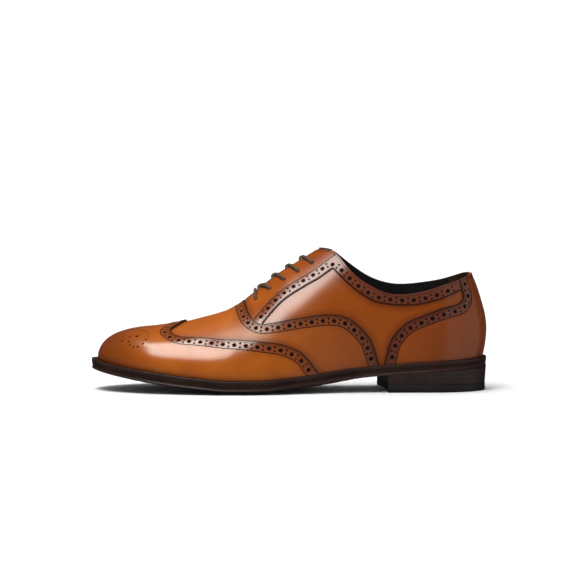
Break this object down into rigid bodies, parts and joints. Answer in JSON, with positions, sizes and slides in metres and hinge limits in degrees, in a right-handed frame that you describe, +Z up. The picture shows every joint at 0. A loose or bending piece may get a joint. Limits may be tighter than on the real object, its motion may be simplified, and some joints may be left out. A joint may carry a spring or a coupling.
{
  "type": "brogue shoe",
  "caption": "Men's left wing-tip oxford in polished tan leather with punched edges, stacked heel and tied-down laces, standing empty on its sole.",
  "frame": {"origin": "on the floor, under the middle of the sole's length and width", "axes": "+X from heel to toe, +Y to the outer side of the foot, +Z up"},
  "size_m": [0.305, 0.106, 0.1092],
  "materials": {
    "quarter_leather": "polished tan calf leather",
    "vamp_leather": "polished tan calf leather",
    "burnished_leather": "polished tan calf leather, burnished dark at the toe",
    "counter_leather": "polished tan calf leather, burnished at the heel",
    "facing_leather": "polished tan calf leather with a pale sheen",
    "tongue_leather": "tan leather, dark in the shade of the facings",
    "sole_leather": "dark brown dressed edge, waxed",
    "welt_leather": "dark brown stitched strip",
    "sock_leather": "black lining leather",
    "heel_leather": "dark brown stacked leather, waxed",
    "heel_rubber": "black rubber, matt",
    "lace_cotton": "dark brown waxed cotton cord"
  },
  "bodies": {
    "root": {"upper": "quarter_leather", "vamp": "vamp_leather", "wing_cap": "burnished_leather", "counter": "counter_leather", "facing_outer": "facing_leather", "facing_inner": "facing_leather", "tongue": "tongue_leather", "outsole": "sole_leather", "welt": "welt_leather", "insole": "sock_leather", "heel_stack": "heel_leather", "heel_top_piece": "heel_rubber", "lace_bar": "lace_cotton", "lace_crossing_1": "lace_cotton", "lace_crossing_2": "lace_cotton", "lace_crossing_3": "lace_cotton", "lace_crossing_4": "lace_cotton"}
  },
  "joints": []
}
